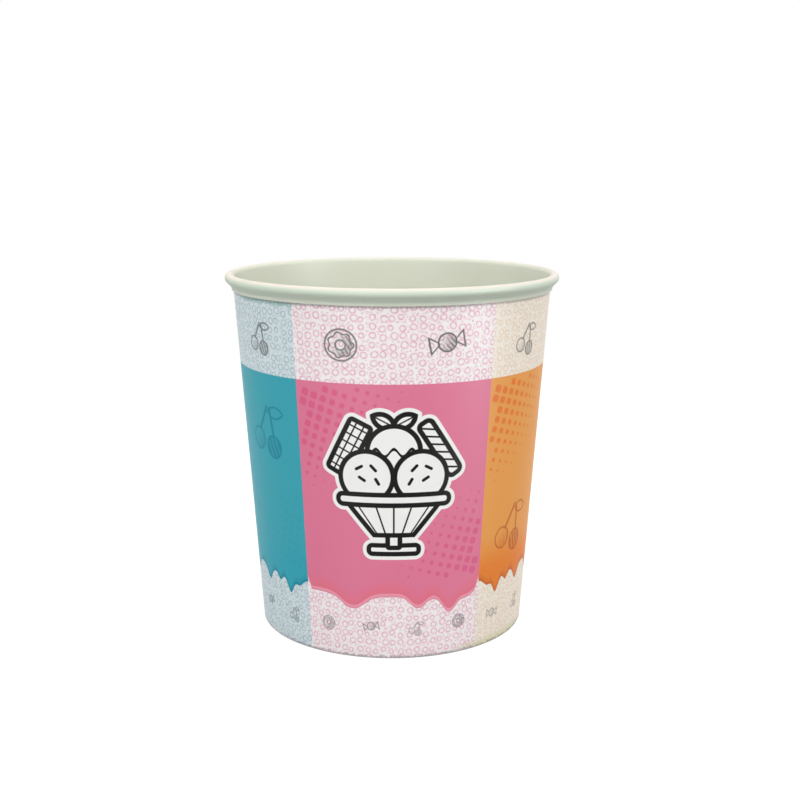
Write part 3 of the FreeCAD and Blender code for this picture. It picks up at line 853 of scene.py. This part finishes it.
def printedBoard(sizes):
    material, wire, shader = newMaterial("printed board")
    blank = wire.add("ShaderNodeAttribute", {"attribute_name": "blank"}, output="Vector")
    solid = wire.add("ShaderNodeTexCoord", output="Object")
    place = wire.add("ShaderNodeSeparateXYZ", inputs={0: blank})
    around = place * (1 / mm)
    rise = place.take("Y") * (1 / mm)
    spot = wire.add("ShaderNodeCombineXYZ", inputs={0: around, 1: rise})
    grain = wire.add("ShaderNodeTexNoise", inputs={"Vector": spot, "Scale": 0.9, "Detail": 2.0})

    # which panel it is, and the arc from the panel's middle
    panelArc = 2 * math.pi * blankRadius / sizes["panels"]
    shifted = around + (panelArc / 2 - math.radians(sizes["panelMiddle"]) * blankRadius)
    panel = (shifted / panelArc).maths("FLOOR")
    local = shifted - panel * panelArc - panelArc / 2
    panel = panel.maths("FLOORED_MODULO", sizes["panels"])
    isFront = panel.equals(0)
    pick = (panel + 0.5) / sizes["panels"]

    def ink(name):
        stops = [(i / sizes["panels"], paint(*c)) for i, c in enumerate(panelColours[name])]
        return wire.add("ShaderNodeValToRGB", {"stops": ("CONSTANT", stops)}, {0: pick})

    # the bands
    colour = ringedPaper(spot, grain, ink, sizes)
    sketch, pressure, onField = sketched(shifted, rise, panelArc, sizes)
    colour = layered(sketch * pressure, colour, sketchGrey)
    colour = tinted(colour, around, rise, grain, sizes)

    # the colour fields with their dripping lower edge, deeper in colour towards it
    mirrored = local * (panel.above(2.5) * 2 - 1)
    cornerStart, cornerLift = sizes["frontCorners"]
    corners = abs(local).ease(cornerStart, panelArc / 2) * cornerLift
    frontEdge = dripEdge(corners + sizes["frontFoot"], local, sizes["frontDrips"], sizes["frontDripForm"])
    sideEdge = dripEdge(sizes["sideFoot"], mirrored, sizes["sideDrips"], sizes["sideDripForm"])
    over = rise - sideEdge - (frontEdge - sideEdge) * isFront
    sideDeep = (rise + grain * 6).ease(*sizes["sideDeepens"])
    deep = sideDeep + ((over + grain * 3).ease(*sizes["frontDeepens"]) - sideDeep) * isFront
    field = layered(deep * 0.85, ink("field"), ink("low"))
    rim = filled(over - sizes["dripRim"], 0.3)
    field = layered(drawn(over - sizes["dripRim"] - 0.5, 0.3, 0.9) * 0.35, field, ink("line"))
    field = layered(rim, field, ink("rim"))
    field = layered(filled(over - sizes["dripLine"], 0.2) * 0.8, field, ink("line"))
    weight = 0.75 + panel.equals(1) * 0.25 - panel.equals(4) * 0.35
    field = layered(dotted(local, rise, panelArc, sizes) * weight * (1 - rim), field, ink("dots"))
    field = layered(sketch * onField * (1 - isFront) * 0.85, field, ink("line"))
    inField = filled(over * -1) * filled(rise - sizes["fieldTop"])
    colour = layered(inField, colour, field)

    # the emblem, a sticker on the front panel
    scale = sizes["emblemScale"]
    inkLine, reach = emblem(local / scale, (rise - sizes["emblemHeight"]) / scale, sizes["outline"])
    sticker = filled(reach - sizes["outline"] - sizes["sticker"]) * isFront
    colour = layered(sticker, colour, emblemWhite)
    colour = layered(inkLine * isFront, colour, emblemBlack)
    finishMaterial(wire, shader, "print", colour, solid)
    return material


def coatedBoard(cup):
    material, wire, shader = newMaterial("coated board")
    place = wire.add("ShaderNodeTexCoord", output="Object")
    cloud = wire.add("ShaderNodeTexNoise", inputs={"Vector": place, "Scale": 42.0, "Detail": 3.0})
    colour = layered(cloud.ease(0.3, 0.7), paint(211, 213, 198), paint(207, 210, 195))
    # the rolled rim: a painted highlight on its crown, lighter and warmer, and painted shade on its
    # flank, darker and greener
    axes = wire.add("ShaderNodeSeparateXYZ", inputs={0: place})
    rollPlace = cup["rim"] - wallSizes["curlRadius"]
    outer = length(axes, axes.take("Y")).ease((rollPlace - 1.2) * mm, rollPlace * mm)
    # painted highlight over the roll's outside, left on the crown
    colour = layered(outer, colour, paint(221, 213, 202))
    flank = axes.take("Z").ease((cup["height"] - 0.1) * mm, (cup["height"] - 0.9) * mm)
    # painted shade on the flank, below the crown
    colour = layered(outer * flank, colour, paint(200, 211, 195))
    finishMaterial(wire, shader, "coating", colour, place)
    return material


def rawBoard():
    material, wire, shader = newMaterial("cut board edge")
    place = wire.add("ShaderNodeTexCoord", output="Object")
    speck = wire.add("ShaderNodeTexNoise", inputs={"Vector": place, "Scale": 1500.0, "Detail": 4.0})
    colour = layered(speck.ease(0.35, 0.65), paint(226, 222, 210), paint(206, 200, 186))
    finishMaterial(wire, shader, "cut", colour, place)
    return material


cup = measureCup()
finishes = {
    "Print Side": printedBoard(printSizes),
    "Coated Side": coatedBoard(cup),
    "Cut Edge": rawBoard(),
}
boardTree = wrapTree()
print("materials and the wrapping tree built")

lapEnd = wallSizes["seamPlace"] + wallSizes["seamAngle"] / 2
wallValues = {
    "Columns": wallSizes["columns"],
    "Closed Section": 1,
    "First Angle": math.radians(lapEnd - 360),
    "Step Angle": math.radians(lapEnd - wallSizes["seamAngle"]),
    "Ramp Angle": math.radians(wallSizes["rampAngle"]),
    "Edge Gap": 0.0002,
    "Lap Depth": wallSizes["board"] * mm,
    "Bead Lump": wallSizes["beadLump"],
    "Rib Count": float(wallSizes["ribCount"]),
    "Rib Depth": wallSizes["ribDepth"] * mm,
    "Waviness": wallSizes["waviness"] * mm,
    **finishes,
}
wallLine = wallSection(cup, wallSizes)
wall = wrapBoard("cup_wall", wallLine.mesh("wall_section", True), boardTree, wallValues)
mapFlat(wall.data, wallLine.printRows)
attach(wall, "root")
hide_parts("side_wall")
print("wall wrapped")

discValues = {
    "Columns": discSizes["columns"],
    "Closed Section": 0,
    "First Angle": -math.pi,
    "Step Angle": math.pi - 0.1,
    "Ramp Angle": 0.05,
    "Edge Gap": 0.0,
    "Lap Depth": 0.0,
    "Bead Lump": 0.0,
    "Rib Count": float(discSizes["pleatCount"]),
    "Rib Depth": discSizes["pleatDepth"] * mm,
    "Waviness": discSizes["waviness"] * mm,
    "Print Side": finishes["Coated Side"],
    "Coated Side": finishes["Coated Side"],
    "Cut Edge": finishes["Cut Edge"],
}
discLine = discSection(cup, discSizes, wallSizes)
bottom = wrapBoard("bottom_board", discLine.mesh("disc_section", False), boardTree, discValues)
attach(bottom, "root")
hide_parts("bottom_disc")
print("bottom made")

# Floor, light and camera
studio = {
    "floorSize": 3.0,
    "floorColour": 0.36,
    "floorGlow": 0.72,  # what the camera sees added, so that the floor is white where it is lit
    "fadeStart": 0.2,
    "fadeEnd": 0.5,
    "worldLight": 0.91,
    "flag": 0.26,
    "focal": 54.71,
    "distance": 0.341,
    "lookHeight": 0.0486,
    "elevation": 13.6,
    "shift": (0.0101, 0.0554),
}
lamps = (
    # name, azimuth, elevation, distance, width, height, power in watts, seen in gloss alone
    ("right softbox", 58, 30, 1.0, 0.55, 0.7, 2.4, False),
    ("left softbox", -42, 28, 1.0, 0.45, 0.7, 3.2, False),
    ("overhead", 10, 75, 1.0, 0.7, 0.7, 2.2, False),
    ("left sheen", -26, 3, 0.8, 0.1, 0.5, 20.0, True),
    ("right sheen", 64, 3, 0.8, 0.16, 0.5, 55.0, True),
)


def makeFloor():
    bpy.ops.mesh.primitive_circle_add(vertices=96, radius=studio["floorSize"], fill_type="NGON")
    floor = bpy.context.object
    floor.name = "floor"
    material, wire, shader = newMaterial("white floor")
    tree = material.node_tree
    tree.nodes.remove(shader)
    output = next(node for node in tree.nodes if node.type == "OUTPUT_MATERIAL")
    place = wire.add("ShaderNodeTexCoord", output="Object")
    radius = wire.add("ShaderNodeVectorMath", {"operation": "LENGTH"}, {0: place}, "Value")
    far = radius.ease(studio["fadeStart"], studio["fadeEnd"])
    path = wire.add("ShaderNodeLightPath", output="Is Camera Ray")
    seen = path.most(path.take("Is Glossy Ray")).most(path.take("Is Transmission Ray"))
    shade = studio["floorColour"]
    matte = wire.add("ShaderNodeBsdfDiffuse", inputs={"Color": (shade, shade, shade, 1)})
    glow = wire.add("ShaderNodeEmission", inputs={"Strength": seen * studio["floorGlow"]})
    lit = wire.add("ShaderNodeAddShader", inputs={0: matte, 1: glow})
    white = wire.add("ShaderNodeEmission", inputs={"Strength": 1.0})
    mixed = wire.add("ShaderNodeMixShader", inputs={0: far * seen, 1: lit, 2: white})
    tree.links.new(mixed.socket, output.inputs["Surface"])
    floor.data.materials.append(material)


def makeWorld():
    world = bpy.data.worlds.new("studio")
    world.use_nodes = True
    bpy.context.scene.world = world
    wire = Wire(world.node_tree)
    path = wire.add("ShaderNodeLightPath", output="Is Camera Ray")
    seen = path.most(path.take("Is Glossy Ray")).most(path.take("Is Transmission Ray"))
    back = next(node for node in world.node_tree.nodes if node.type == "BACKGROUND")
    back.inputs["Color"].default_value = (1, 1, 1, 1)
    # a grey flag on the left takes some light off that side
    sky = wire.add("ShaderNodeTexCoord", output="Generated")
    way = wire.add("ShaderNodeSeparateXYZ", inputs={0: sky})
    flagged = (way * -1).ease(0.2, 0.9) * studio["flag"]
    light = (1 - flagged) * studio["worldLight"]
    strength = light + seen * (1 - light)
    world.node_tree.links.new(strength.socket, back.inputs["Strength"])


def standAt(azimuth, elevation, distance, height):
    a, e = math.radians(azimuth), math.radians(elevation)
    flat = distance * math.cos(e)
    return (flat * math.sin(a), -flat * math.cos(a), height + distance * math.sin(e))


def makeLamps():
    for name, azimuth, elevation, distance, width, height, power, glossOnly in lamps:
        light = bpy.data.lights.new(name, "AREA")
        light.shape, light.size, light.size_y = "RECTANGLE", width, height
        light.energy = power
        lamp = bpy.data.objects.new(name, light)
        lamp.location = standAt(azimuth, elevation, distance, studio["lookHeight"])
        lamp.rotation_euler = (math.radians(90 - elevation), 0, math.radians(azimuth))
        lamp.visible_camera = False
        lamp.visible_diffuse = not glossOnly
        bpy.context.scene.collection.objects.link(lamp)


def makeCamera():
    lens = bpy.data.cameras.new("camera")
    lens.lens = studio["focal"]
    lens.shift_x, lens.shift_y = studio["shift"]
    lens.clip_start = 0.01
    camera = bpy.data.objects.new("camera", lens)
    camera.location = standAt(0, studio["elevation"], studio["distance"], studio["lookHeight"])
    camera.rotation_euler = (math.radians(90 - studio["elevation"]), 0, 0)
    bpy.context.scene.collection.objects.link(camera)
    bpy.context.scene.camera = camera
    bpy.context.scene.view_settings.view_transform = "Standard"


makeFloor()
makeWorld()
makeLamps()
makeCamera()
print("studio made")
